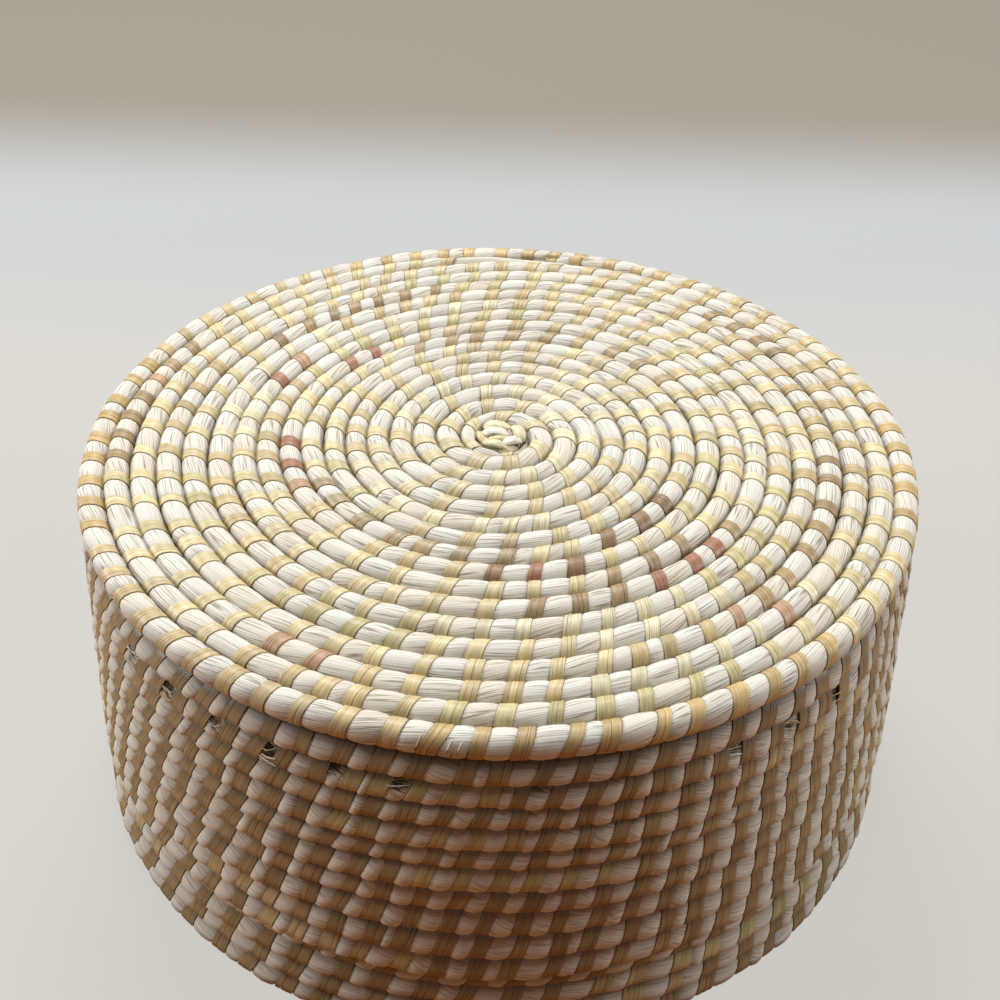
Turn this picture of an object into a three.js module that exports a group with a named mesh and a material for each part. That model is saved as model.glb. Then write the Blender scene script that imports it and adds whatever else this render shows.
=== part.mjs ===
// A round lidded basket of coiled straw, sewn with raffia: millimetres, +Z up, the floor at z = 0.
//
// One bundle of straw is laid round and round. Flat spirals make the lid and the base, and level
// rows make the wall. Each coil is one unbroken tube whose two ends taper off against its limits.
// The lid winds clockwise from above. The basket, worked from its base up, winds the other way.
import * as THREE from "three";

// Driving dimensions
const LID_DIAMETER = 300;
const LID_DOME = 2; // how far the middle of the lid stands above its edge
const RIM_COIL_WIDTH = 8.8;
const RIM_COIL_HEIGHT = 8.8;
const RIM_OVERHANG = 0.5; // the lid's rim coil stands out past the wall by this much
const WALL_FLARE = 6.5; // the wall's foot stands out past its top by this much
const WALL_BULGE = 0.8; // the wall swells by this much half way up
const WALL_THICKNESS = 8.4;
const ROW_HEIGHT = 9.6; // one row of the wall, with the gap to the next
const HEEL_ROW_HEIGHT = 8.2; // the same for the lower rows of the heel
const HEEL_INSET = 1.5; // the heel's top row is tucked in under the wall by this much
const FLAT_COIL_WIDTH = 9; // about one turn of a flat spiral, with the gap to the next
const FLAT_COIL_THICKNESS = 8.8;
const KNOT_DIAMETER = 18;
const LOCATING_RING_THICKNESS = 7;

// Counts
const HEEL_ROWS = 4;
const WALL_ROWS = 9;
const LOCATING_ROWS = 2;
const STEPS_PER_TURN = 18;
const KNOT_FACETS = 16;

// Clearances
const COIL_GAP = 0.7; // between one turn of a coil and the next
const SEAT_GAP = 0.3; // between a piece and what it is sewn to
const LID_CLEARANCE = 2.5; // between the mouth and the ring that locates the lid in it

// Each level row steps up to the next at the back of the basket, over this angle.
const STEP_UP_ANGLE = THREE.MathUtils.degToRad(60);
const BACK_ANGLE = THREE.MathUtils.degToRad(90);

// Winding directions, seen from above
const CLOCKWISE = -1;
const ANTICLOCKWISE = 1;

// A flat spiral's ends stop where the tapering turn is this share of its full width,
// and its thickness tapers to the other share.
const TAPER_END_WIDTH = 0.25;
const TAPER_END_THICKNESS = 0.6;

// Levels, counted up from the floor
const WALL_BOTTOM = HEEL_ROWS * HEEL_ROW_HEIGHT;
const MOUTH_BOTTOM = WALL_BOTTOM + WALL_ROWS * ROW_HEIGHT;
const LID_BOTTOM = MOUTH_BOTTOM + ROW_HEIGHT;

// Outer radii
const LID_RADIUS = LID_DIAMETER / 2;
const WALL_TOP_RADIUS = LID_RADIUS - RIM_OVERHANG;
const FOOT_RADIUS = WALL_TOP_RADIUS + WALL_FLARE;
const LOCATING_RADIUS = WALL_TOP_RADIUS - WALL_THICKNESS - LID_CLEARANCE;

// The wall leans in from its foot to its top, and swells a little on the way.
function wallRadius(height) {
  const share = height / LID_BOTTOM;
  return FOOT_RADIUS - WALL_FLARE * share + WALL_BULGE * Math.sin(Math.PI * share);
}

// The heel stands upright at the foot and curves in to its tucked top row.
function heelRadius(height) {
  const top = wallRadius(WALL_BOTTOM) - HEEL_INSET;
  return FOOT_RADIUS + (top - FOOT_RADIUS) * (height / WALL_BOTTOM) ** 2;
}

// The underside of the lid rises towards the middle.
function lidBottom(radius) {
  return LID_BOTTOM + LID_DOME * (1 - (radius / LID_RADIUS) ** 2);
}

// Five-sided sections that fill a unit box, [across, up]: one corner points up and the side below
// is flat, or one corner points outwards and the side within is flat.
const SHOULDER = 0.618;
const FLAT_FROM = 0.191;
const FLAT_TO = 0.809;
const FLAT_BELOW = [
  [0.5, 1],
  [0, SHOULDER],
  [FLAT_FROM, 0],
  [FLAT_TO, 0],
  [1, SHOULDER],
];
const FLAT_INSIDE = [
  [1, 0.5],
  [SHOULDER, 1],
  [0, FLAT_TO],
  [0, FLAT_FROM],
  [SHOULDER, 0],
];

// The corners of a section that fills a frame's box, at the frame's angle round the upright axis
function sectionCorners({ angle, inner, outer, bottom, top }, section) {
  return section.map(([across, up]) => {
    const radius = inner + across * (outer - inner);
    const height = bottom + up * (top - bottom);
    return new THREE.Vector3(radius * Math.cos(angle), radius * Math.sin(angle), height);
  });
}

// A closed tube whose section runs through a list of frames
function sweepSection(frames, section) {
  const sides = section.length;
  const corners = frames.flatMap((frame) => sectionCorners(frame, section));
  const triangles = [];
  for (let ring = 0; ring < frames.length - 1; ring++) {
    for (let side = 0; side < sides; side++) {
      const here = ring * sides + side;
      const next = ring * sides + ((side + 1) % sides);
      triangles.push(here, next, next + sides);
      triangles.push(here, next + sides, here + sides);
    }
  }
  const last = (frames.length - 1) * sides;
  for (let side = 1; side < sides - 1; side++) {
    triangles.push(0, side + 1, side);
    triangles.push(last, last + side, last + side + 1);
  }
  const geometry = new THREE.BufferGeometry().setFromPoints(corners);
  geometry.setIndex(triangles);
  geometry.computeVertexNormals();
  return geometry;
}

// A flat spiral that winds outwards between two circles
function spiralFrames({ winding, innerRadius, outerRadius, bottomAt }) {
  const turns = Math.round((outerRadius - innerRadius) / FLAT_COIL_WIDTH);
  const pitch = (outerRadius - innerRadius) / turns;
  const step = 1 / STEPS_PER_TURN;
  const first = Math.ceil(TAPER_END_WIDTH / step) * step;
  const frames = [];
  for (let turn = first; turn <= turns + 1 - first + step / 2; turn += step) {
    const share = Math.min(1, turn, turns + 1 - turn);
    const inner = innerRadius + pitch * Math.max(0, turn - 1) + COIL_GAP / 2;
    const outer = innerRadius + pitch * Math.min(turns, turn) - COIL_GAP / 2;
    const bottom = bottomAt((inner + outer) / 2);
    const thickness = FLAT_COIL_THICKNESS * THREE.MathUtils.lerp(TAPER_END_THICKNESS, 1, share);
    const angle = winding * 2 * Math.PI * turn;
    frames.push({ angle, inner, outer, bottom, top: bottom + thickness });
  }
  return frames;
}

// Level rows, one above the other, that step up at the back, cut level at the bottom and the top.
function rowFrames({ winding, rows, bottom, rowHeight, thickness, outerAt }) {
  const step = (2 * Math.PI) / STEPS_PER_TURN;
  const stepsUp = Math.round(STEP_UP_ANGLE / step);
  const frames = [];
  for (let index = 1 - stepsUp; index <= rows * STEPS_PER_TURN - 1; index++) {
    const row = Math.floor(index / STEPS_PER_TURN);
    const left = STEPS_PER_TURN * (row + 1) - index;
    const level = row + Math.max(0, 1 - left / stepsUp);
    const low = bottom + rowHeight * Math.max(0, level);
    const high = bottom + rowHeight * Math.min(rows, level + 1);
    const outer = outerAt((low + high) / 2);
    frames.push({
      angle: BACK_ANGLE + winding * (STEP_UP_ANGLE / 2 + step * index),
      inner: outer - thickness,
      outer,
      bottom: low + COIL_GAP / 2,
      top: high - COIL_GAP / 2,
    });
  }
  return frames;
}

// The least distance between two turns of one coil, measured on its corners and between them.
function leastGap(frames, section) {
  const rings = frames.map((frame) => sectionCorners(frame, section));
  const points = [];
  rings.forEach((ring, index) => {
    ring.forEach((corner, side) => {
      points.push({ index, at: corner });
      if (index + 1 < rings.length) {
        points.push({ index: index + 0.5, at: corner.clone().lerp(rings[index + 1][side], 0.5) });
      }
    });
  });
  let least = Infinity;
  for (const one of points) {
    for (const other of points) {
      if (other.index - one.index > STEPS_PER_TURN / 2) {
        least = Math.min(least, one.at.distanceToSquared(other.at));
      }
    }
  }
  return Math.sqrt(least);
}

// Colours of the straw bundle and of the raffia that binds the knots
const STRAW_COLOUR = "#e4d8bd";
const RAFFIA_COLOUR = "#cdb07a";

function namedMesh(name, geometry, colour) {
  const material = new THREE.MeshStandardMaterial({ color: colour, roughness: 0.8, metalness: 0 });
  const mesh = new THREE.Mesh(geometry, material);
  mesh.name = name;
  return mesh;
}

// The section's corners run the right way round for a sweep that goes clockwise.
function coilMesh(name, winding, frames, section) {
  console.log(`${name}: least gap to itself ${leastGap(frames, section).toFixed(2)} mm`);
  const clockwiseFrames = winding === CLOCKWISE ? frames : frames.toReversed();
  return namedMesh(name, sweepSection(clockwiseFrames, section), STRAW_COLOUR);
}

function spiralMesh(name, limits) {
  return coilMesh(name, limits.winding, spiralFrames(limits), FLAT_BELOW);
}

function rowsMesh(name, limits) {
  return coilMesh(name, limits.winding, rowFrames(limits), FLAT_INSIDE);
}

// The wrapped knot that a spiral starts from: a round button, dimpled on top.
function knotMesh(name, bottom) {
  const radius = KNOT_DIAMETER / 2;
  const top = FLAT_COIL_THICKNESS;
  const profile = [
    [0, 0],
    [0.8 * radius, 0],
    [radius, 0.25 * top],
    [radius, 0.65 * top],
    [0.75 * radius, top],
    [0.4 * radius, top],
    [0, 0.8 * top],
  ].map(([across, up]) => new THREE.Vector2(across, up));
  const mesh = namedMesh(name, new THREE.LatheGeometry(profile, KNOT_FACETS), RAFFIA_COLOUR);
  mesh.rotation.x = Math.PI / 2;
  mesh.position.z = bottom;
  return mesh;
}

const SPIRAL_START = KNOT_DIAMETER / 2 + SEAT_GAP - COIL_GAP / 2;

// The basket: base, heel, wall and mouth
function makeBasket() {
  const basket = new THREE.Group();
  basket.add(
    knotMesh("base_centre_knot", 0),
    spiralMesh("base_coil", {
      winding: ANTICLOCKWISE,
      innerRadius: SPIRAL_START,
      outerRadius: FOOT_RADIUS - WALL_THICKNESS - SEAT_GAP,
      bottomAt: () => 0,
    }),
    rowsMesh("heel_coil", {
      winding: ANTICLOCKWISE,
      rows: HEEL_ROWS,
      bottom: 0,
      rowHeight: HEEL_ROW_HEIGHT,
      thickness: WALL_THICKNESS,
      outerAt: heelRadius,
    }),
    rowsMesh("wall_coil", {
      winding: ANTICLOCKWISE,
      rows: WALL_ROWS,
      bottom: WALL_BOTTOM,
      rowHeight: ROW_HEIGHT,
      thickness: WALL_THICKNESS,
      outerAt: wallRadius,
    }),
    rowsMesh("mouth_rim_coil", {
      winding: ANTICLOCKWISE,
      rows: 1,
      bottom: MOUTH_BOTTOM,
      rowHeight: ROW_HEIGHT,
      thickness: WALL_THICKNESS,
      outerAt: wallRadius,
    }),
  );
  return basket;
}

// The lid: top, rim and the ring below it that drops into the mouth
function makeLid() {
  const lid = new THREE.Group();
  const locatingTop = lidBottom(LOCATING_RADIUS - LOCATING_RING_THICKNESS) - SEAT_GAP;
  lid.add(
    knotMesh("lid_centre_knot", lidBottom(0)),
    spiralMesh("lid_coil", {
      winding: CLOCKWISE,
      innerRadius: SPIRAL_START,
      outerRadius: LID_RADIUS - RIM_COIL_WIDTH,
      bottomAt: lidBottom,
    }),
    rowsMesh("lid_rim_coil", {
      winding: CLOCKWISE,
      rows: 1,
      bottom: LID_BOTTOM,
      rowHeight: RIM_COIL_HEIGHT,
      thickness: RIM_COIL_WIDTH,
      outerAt: () => LID_RADIUS,
    }),
    rowsMesh("lid_locating_ring", {
      winding: CLOCKWISE,
      rows: LOCATING_ROWS,
      bottom: locatingTop + COIL_GAP / 2 - LOCATING_ROWS * ROW_HEIGHT,
      rowHeight: ROW_HEIGHT,
      thickness: LOCATING_RING_THICKNESS,
      outerAt: () => LOCATING_RADIUS,
    }),
  );
  return lid;
}

const liddedBasket = new THREE.Group();
liddedBasket.add(makeBasket(), makeLid());

export default liddedBasket;
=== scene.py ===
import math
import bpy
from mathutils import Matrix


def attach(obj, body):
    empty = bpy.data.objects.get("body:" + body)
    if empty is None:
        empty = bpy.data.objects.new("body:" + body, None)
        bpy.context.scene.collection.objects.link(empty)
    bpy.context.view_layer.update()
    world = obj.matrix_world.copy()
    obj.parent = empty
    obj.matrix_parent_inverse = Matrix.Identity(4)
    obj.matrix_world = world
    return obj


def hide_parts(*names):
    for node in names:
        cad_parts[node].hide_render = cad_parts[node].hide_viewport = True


bl_info = {
    "name": "Lidded Coil Basket",
    "version": (1, 0, 0),
    "blender": (4, 5, 0),
    "location": "View3D > Sidebar > Basket",
    "description": "Builds a lidded basket of straw coils sewn with raffia strips",
    "category": "Object",
}

import bmesh
import bpy
import numpy as np
from bpy.props import FloatProperty, FloatVectorProperty, PointerProperty
from mathutils import Matrix, Vector

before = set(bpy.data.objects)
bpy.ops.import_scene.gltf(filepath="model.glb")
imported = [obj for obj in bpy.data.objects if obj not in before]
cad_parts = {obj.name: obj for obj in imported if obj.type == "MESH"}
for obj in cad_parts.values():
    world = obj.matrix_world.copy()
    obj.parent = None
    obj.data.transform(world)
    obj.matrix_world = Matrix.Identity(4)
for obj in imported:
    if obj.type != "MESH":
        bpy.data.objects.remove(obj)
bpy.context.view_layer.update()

# The lid's straw shows its fibres more than the basket's, which is rubbed smooth
LID_STRAW = "bleached straw bundle"
WALL_STRAW = "rubbed straw bundle"
RAFFIA = "dyed raffia strip"
BOARD = "matt painted board"

# Winding of the coils, seen from above
CLOCKWISE = -1
ANTICLOCKWISE = 1

# Where the rows step up, and over how much of a turn
BACK_ANGLE = math.radians(90)
STEP_UP_SHARE = 1 / 6

MILLI = 0.001

# How the heights of the wall and the heel are shared among their uneven rows, from the bottom
WALL_SHARES = (0.1225, 0.127, 0.124, 0.1065, 0.119, 0.09, 0.1085, 0.098, 0.1045)
HEEL_SHARES = (0.277, 0.278, 0.277, 0.168)
WALL_ROWS = len(WALL_SHARES)
HEEL_ROWS = len(HEEL_SHARES)
LOCATING_ROWS = 2

# The rows of the wall wander up and down by about this much
WALL_SWAY = 0.8 * MILLI

# The outer rounds of a flat coil are level rings, each of which steps out to the next at the back
STEP_OUT_SHARE = 0.22
FIRST_LEVEL_ROUND = 3
LAST_SPIRAL_ROUND = 10

# How the grids of the bundles, the strips, and the tubes of the knots and the loose fibres are divided
BUNDLE_SIDES = 14
STRIP_ACROSS = 4
STRIP_AROUND = 14
TUBE_ALONG = 10
TUBE_AROUND = 8

# A direction that no tube runs along, from which its flat sides are found
NEARLY_UP = (0.12, 0.07, 1.0)

# Points that are closer than this are one point
SAME_POINT = 1e-6

# In the map of a bundle a stitch covers this share of the way to the next one, on each side of its middle
STITCH_SHARE = 0.2

# A strip covers no more than this share of the true way to the next one, on each side of its middle
MOST_COVERED = 0.44

# Where the bundle has its points between one stitch and the next, as shares of the map
BUNDLE_SHARES = np.array([0.0, 0.2, 0.23, 0.30, 0.5, 0.70, 0.77, 0.80])

# Across a strip: where its points are, and how high, as shares of its half width and its thickness
STRIP_PLACES = np.array([-1.0, -0.95, 0.0, 0.95, 1.0])
STRIP_HEIGHTS = np.array([0.0, 0.85, 1.0, 0.85, 0.0])

# A nipped coil fills this share of its width and height, and a row of the wall presses into the next one
COIL_FULLNESS = 0.95
WALL_FULLNESS = 1.1

# Where the section of a coil touches its neighbours, and how far round it the painted shade of the crevice
# reaches, in radians
FLAT_JOINS = ((0.0, 0.45), (math.pi, 0.45))
WALL_JOINS = ((math.pi / 2, 1.0),)
RIM_JOINS = ((math.pi, 0.45), (-math.pi / 2, 0.6))

# The thin ends of a coil lap over the turn beside them by this share of a row
END_LAP = 0.2

# Distances round a coil are taken at this radius or more
LEAST_RADIUS = 4 * MILLI

# Uneven hand work: how far a coil drifts, and its waves in a turn, shift from turn to turn and share
HAND_DRIFT = 0.4 * MILLI
HAND_WAVES = ((2, 0.9, 0.5), (5, 2.3, 0.35), (9, 3.9, 0.3), (16, 5.1, 0.2))

# How much the stitches differ in lean, in width, in lift off the straw, and the straw in its swell
LEANS = (0.6, 1.4)
WIDTHS = (0.8, 1.15)
LIFTS = (0.85, 1.15)
SWELLS = (0.75, 1.25)

# A stitch is one whole strip, or one that has split into strands, each trimmed a little at its sides
STRAND_COUNTS = (1, 2, 3, 4)
STRAND_CHANCES = (0.5, 0.28, 0.15, 0.07)
STRAND_EVENNESS = 6.0
STRAND_TRIM = 0.02 * MILLI

# One strip sews a run of stitches: how many, and how bright the runs, the stitches and the strands are
RUN_LENGTHS = (3, 8)
RUN_TONES = (0.93, 1.05)
STITCH_TONES = (0.9, 1.08)
STRAND_TONES = (0.88, 1.08)

# Broken straw in the top row of the wall: angle in degrees, height on the row in degrees, and depth in mm
WORN_PLACES = (
    (-139, 10, 1.0), (-133, 0, 2.4), (-124, 15, 1.0), (-115, 5, 2.0), (-108, 40, 1.6), (-101, 20, 1.2),
    (-84, 55, 1.2), (-60, 40, 1.3), (-53, 25, 1.6), (-46, 15, 2.0), (-38, 45, 1.4), (40, 20, 1.6),
    (122, 10, 1.5),
)
# How far a broken place reaches along the row, and round it in radians
WORN_HALF_LENGTH = 3.2 * MILLI
WORN_HALF_ANGLE = 0.75

# How many loose fibres cross a broken place, and half the thickness of one
FIBRE_COUNT = 4
FIBRE_HEIGHT = 0.12 * MILLI

# Torn strands on the rim: angle in degrees, side of the coil that they reach, half width in mm, and colour
RIM_ENDS = (
    (-93.3, -80, 0.2, "straw_cream"), (-93.9, -60, 0.2, "honey"), (-94.5, -84, 0.2, "straw_cream"),
    (-97.9, -80, 0.25, "amber"), (-33.0, -84, 0.4, "straw_cream"), (-32.4, -70, 0.25, "amber"),
)

# Stained stitches on the lid: row from the rim, colour, and angles in degrees
STAINS = (
    (2, "pinkish", (166,)),
    (3, "pinkish", (-119, -114, -45)),
    (4, "pinkish", (-51,)),
    (7, "russet", (-56, -47, -38, 161)),
    (7, "pinkish", (152,)),
    (9, "russet", (-180, -169, 134, 142, -82)),
    (9, "pinkish", (-159,)),
    (9, "umber", (-94, -72)),
    (10, "umber", (-60, -48, -33)),
)


def linear(code):
    """Linear colour of an sRGB hex value such as 'E8DFC8'."""
    values = [int(code[at : at + 2], 16) / 255 for at in (0, 2, 4)]
    return [v / 12.92 if v <= 0.04045 else ((v + 0.055) / 1.055) ** 2.4 for v in values]


def metres(name, description, default):
    """A length in metres that a user may change."""
    return FloatProperty(name=name, description=description, default=default, unit="LENGTH", precision=5)


def srgb(name, description, code):
    """A colour that a user may change."""
    return FloatVectorProperty(
        name=name, description=description, default=linear(code), subtype="COLOR", size=3, min=0, max=1
    )


class BasketSizes(bpy.types.PropertyGroup):
    """Sizes of the coils of the basket and its lid"""

    lid_radius: metres("Lid radius", "Outside of the lid's rim coil", 0.150)
    lid_dome: metres("Lid dome", "How far the middle of the lid rises", 0.002)
    rim_coil: metres("Rim coil", "Width and height of the lid's rim coil", 0.0088)
    rim_overhang: metres("Rim overhang", "How far the rim stands out over the wall", 0.0005)
    wall_flare: metres("Wall flare", "How much wider the foot is than the mouth", 0.0065)
    wall_bulge: metres("Wall bulge", "How far the wall swells at half its height", 0.0008)
    wall_thickness: metres("Wall thickness", "Thickness of the wall's coil", 0.0084)
    row_height: metres("Row height", "Height of one row of the wall", 0.0096)
    heel_row_height: metres("Heel row height", "Mean height of one row of the heel", 0.0082)
    heel_inset: metres("Heel inset", "How far the heel's top row tucks in", 0.0015)
    flat_thickness: metres("Flat coil thickness", "Thickness of the lid and floor", 0.0088)
    flat_width: metres("Flat coil width", "Width of one turn of the lid or floor", 0.009)
    spiral_start: metres("Spiral start", "Radius at which the flat coils start", 0.00895)
    ring_thickness: metres("Locating ring", "Thickness of the ring under the lid", 0.007)
    ring_clearance: metres("Lid clearance", "Play of the locating ring in the mouth", 0.0025)


class BasketStitches(bpy.types.PropertyGroup):
    """Sizes of the raffia stitches"""

    strip_width: metres("Strip width", "Width of a raffia strip", 0.0051)
    strip_proud: metres("Strip thickness", "How far a strip lies on the nipped bundle", 0.0005)
    lid_spacing: metres("Lid spacing", "Distance from stitch to stitch on the lid", 0.0131)
    wall_spacing: metres("Wall spacing", "Distance from stitch to stitch on the wall", 0.0118)
    heel_spacing: metres("Heel spacing", "Distance from stitch to stitch on the heel", 0.0147)
    rim_spacing: metres("Rim spacing", "Distance from stitch to stitch on the lid's rim", 0.0129)


class BasketColours(bpy.types.PropertyGroup):
    """Colours of the straw, the raffia and the stage"""

    straw_pale: srgb("Pale straw", "Bleached straw fibres", "EDEAE1")
    straw_cream: srgb("Cream straw", "Straw with less bleaching", "EDE6D6")
    straw_shade: srgb("Straw lines", "Lines between the straw fibres", "8C7C62")
    # Painted shade of the cracks beside the strips and of the hollows where the straw is broken
    straw_dark: srgb("Dark straw", "Hollows and cracks of the straw", "2B1D11")
    # Painted shade deep in the crevices between two turns
    crevice: srgb("Crevices", "What is left of a colour deep between two turns", "523F30")
    honey: srgb("Honey raffia", "The usual raffia strip", "D1BB8C")
    gold: srgb("Golden raffia", "Brighter raffia strips", "E0CE9F")
    cream: srgb("Cream raffia", "The palest raffia strips", "E6DBB6")
    olive: srgb("Olive raffia", "Greenish raffia strips", "CDC08E")
    amber: srgb("Amber raffia", "Raffia strips of the rim", "CCB07A")
    brown: srgb("Brown raffia", "Raffia strips of the wall", "AB926B")
    pinkish: srgb("Pinkish raffia", "Strips with a pink stain", "C29C7C")
    russet: srgb("Russet raffia", "The few red-brown strips", "AA7A60")
    umber: srgb("Umber raffia", "The few dark strips", "967A5C")
    floor: srgb("Floor", "Pale floor", "D9D6D0")
    # The backdrop colour is painted shade, and the floor edge a painted sheen
    distance: srgb("Backdrop", "Floor far behind the basket", "A8A093")
    band: srgb("Floor edge", "Palest part of the floor, before the backdrop", "CFD1D2")
    bounce: srgb("Front bounce", "Colour that the floor throws on the front", "B0703E")
    side_bounce: srgb("Side bounce", "Colour that the floor throws on the sides", "957D67")


def sizes():
    return bpy.context.scene.basket_sizes


def stitches():
    return bpy.context.scene.basket_stitches


def colours():
    return bpy.context.scene.basket_colours


# Heights and radii that several pieces share


def wall_bottom():
    return HEEL_ROWS * sizes().heel_row_height


def mouth_bottom():
    return wall_bottom() + WALL_ROWS * sizes().row_height


def lid_bottom_height():
    return mouth_bottom() + sizes().row_height


def wall_top_radius():
    return sizes().lid_radius - sizes().rim_overhang


def foot_radius():
    return wall_top_radius() + sizes().wall_flare


def wall_radius(height):
    """Outer radius of the wall at a height."""
    share = height / lid_bottom_height()
    return foot_radius() - sizes().wall_flare * share + sizes().wall_bulge * np.sin(math.pi * share)


def heel_radius(height):
    """Outer radius of the heel, which leans in under the wall at its top."""
    top_radius = wall_radius(wall_bottom()) - sizes().heel_inset
    return foot_radius() + (top_radius - foot_radius()) * (height / wall_bottom()) ** 2


def lid_bottom(radius):
    """Height of the underside of the domed lid at a radius."""
    return lid_bottom_height() + sizes().lid_dome * (1 - (radius / sizes().lid_radius) ** 2)


def wall_sway(angle, height):
    """How far the rows of the wall wander up at an angle, least at the floor and at the lid."""
    share = np.clip(height / lid_bottom_height(), 0, 1)
    waves = np.sin(5 * angle + 4 * share) + 0.7 * np.sin(9 * angle - 5 * share + 1)
    return WALL_SWAY * np.sin(math.pi * share) * waves


def angle_from(start, angle):
    """How far an angle is from another one, from minus half a turn to half a turn."""
    return (angle - start + math.pi) % (2 * math.pi) - math.pi


def smooth(share):
    """Eases a share from 0 to 1."""
    share = np.clip(share, 0, 1)
    return share * share * (3 - 2 * share)


class Coil:
    """The line and the section of one coil, given by how many turns along it a point is."""

    # How far the section leans in as it rises, and how square it is
    shear = 0.0
    power = 2.15
    # How much more the straw bulges low down than on the face, as a share
    hang = 0.0
    # How dark the painted shade in the crevices is, how much of its row's height the section fills, and how
    # the rows wander
    grime = 0.65
    tallness = COIL_FULLNESS
    sway = None

    def __init__(self, winding, first, last, lead, joins, **form):
        self.winding = winding
        self.first = first
        self.last = last
        # The side of the section at which a stitch is furthest along the coil
        self.lead = lead
        self.joins = joins
        for name, value in form.items():
            setattr(self, name, value)

    def band(self, turn):
        """Inner radius, outer radius, bottom and top of the coil at these turns."""
        raise NotImplementedError

    def angle(self, turn):
        """Angle round the basket at these turns, where a whole turn ends with the step at the back."""
        return BACK_ANGLE + self.winding * 2 * math.pi * (turn + self.step_share / 2)

    def middle_radius(self, turn):
        inner, outer, bottom, top = self.band(np.asarray(turn, float))
        return (inner + outer) / 2

    def girth(self, turn):
        """The way once round the basket at these turns."""
        return 2 * math.pi * np.maximum(LEAST_RADIUS, self.middle_radius(turn))

    def crevice(self, side):
        """How dark the painted shade of the crevice between two turns makes a side of the section, from 0 to
        1.
        """
        away = [angle_from(join, side) / spread for join, spread in self.joins]
        return np.minimum(1, self.grime * np.exp(-np.min(np.square(away), axis=0)))

    def drift(self, turn):
        """Uneven hand work: small shifts of the coil in radius and height."""
        angle = self.angle(turn)
        waves = [share * np.sin(many * angle + shift * turn) for many, shift, share in HAND_WAVES]
        crossed = [share * np.cos(many * angle - shift * turn) for many, shift, share in HAND_WAVES]
        return HAND_DRIFT * sum(waves), HAND_DRIFT * sum(crossed)

    def point(self, turn, side, extra):
        """Points on the section at angle side, 0 outwards and 90 degrees up, with an extra thickness."""
        inner, outer, bottom, top = self.band(turn)
        angle = self.angle(turn)
        cosine, sine = np.cos(side), np.sin(side)
        scale = (np.abs(cosine) ** self.power + np.abs(sine) ** self.power) ** (-1 / self.power)
        across = (COIL_FULLNESS * (outer - inner) / 2 + extra) * cosine * scale
        up = (self.tallness * (top - bottom) / 2 + extra) * sine * scale
        radius = (inner + outer) / 2 + across - self.shear * up
        height = (bottom + top) / 2 + up
        radius_shift, height_shift = self.drift(turn)
        radius = radius + radius_shift
        height = height + height_shift
        if self.sway:
            height = height + self.sway(angle, height)
        return np.stack([radius * np.cos(angle), radius * np.sin(angle), height], axis=-1)


class FlatCoil(Coil):
    """A flat coil of the lid or the floor: a spiral whose outer rounds are level rings"""

    step_share = STEP_OUT_SHARE

    def __init__(self, winding, inner_radius, outer_radius, turns, bottom_at, thickness):
        self.inner_radius = inner_radius
        self.turns = turns
        self.pitch = (outer_radius - inner_radius) / turns
        self.bottom_at = bottom_at
        self.thickness = thickness
        # The ends stop short of where the coil has no width
        first = 0.05
        last = turns + 1 - 0.12 * STEP_OUT_SHARE
        super().__init__(winding, first, last, 0.0, FLAT_JOINS)

    def rounds_out(self, turn):
        """How many coil widths out the outer edge is."""
        turn = np.maximum(0, turn)
        share = turn % 1
        stepped = smooth((share - 1 + STEP_OUT_SHARE) / STEP_OUT_SHARE)
        levelled = smooth((turn - FIRST_LEVEL_ROUND) / (LAST_SPIRAL_ROUND - FIRST_LEVEL_ROUND))
        return turn + levelled * (stepped - share)

    def band(self, turn):
        low = np.minimum(self.turns, self.rounds_out(turn - 1))
        high = np.minimum(self.turns, self.rounds_out(turn))
        inner = self.inner_radius + self.pitch * low
        outer = self.inner_radius + self.pitch * high
        bottom = self.bottom_at((inner + outer) / 2)
        # The two ends of the coil thin out to half its thickness
        fullness = 0.5 + 0.5 * smooth(1.5 * (high - low))
        return inner, outer, bottom, bottom + self.thickness * fullness

    def stitch_turns(self, spacing, random, follow=0.35, spread=0.17):
        """Each stitch lies beside the one a turn earlier, and one is added where these have spread."""
        # The first turn is sewn evenly, from beside the knot
        start = self.first + 0.3
        turns = [start]
        while turns[-1] < start + 1:
            turns.append(turns[-1] + spacing / float(self.girth(turns[-1])))
        below = 1
        while turns[-1] < self.last - 0.12:
            step = spacing / float(self.girth(turns[-1]))
            gap = turns[below] + 1 + 0.25 * step - turns[-1]
            # A stitch is left out where the turn before has them too close
            if gap < 0.55 * step:
                below += 1
                continue
            if gap > 1.5 * step:
                gap = gap / 2
            else:
                below += 1
            own_step = (1 - follow) * step
            turns.append(turns[-1] + follow * gap + own_step + random.uniform(-spread, spread) * step)
        return np.array(turns)


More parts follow.
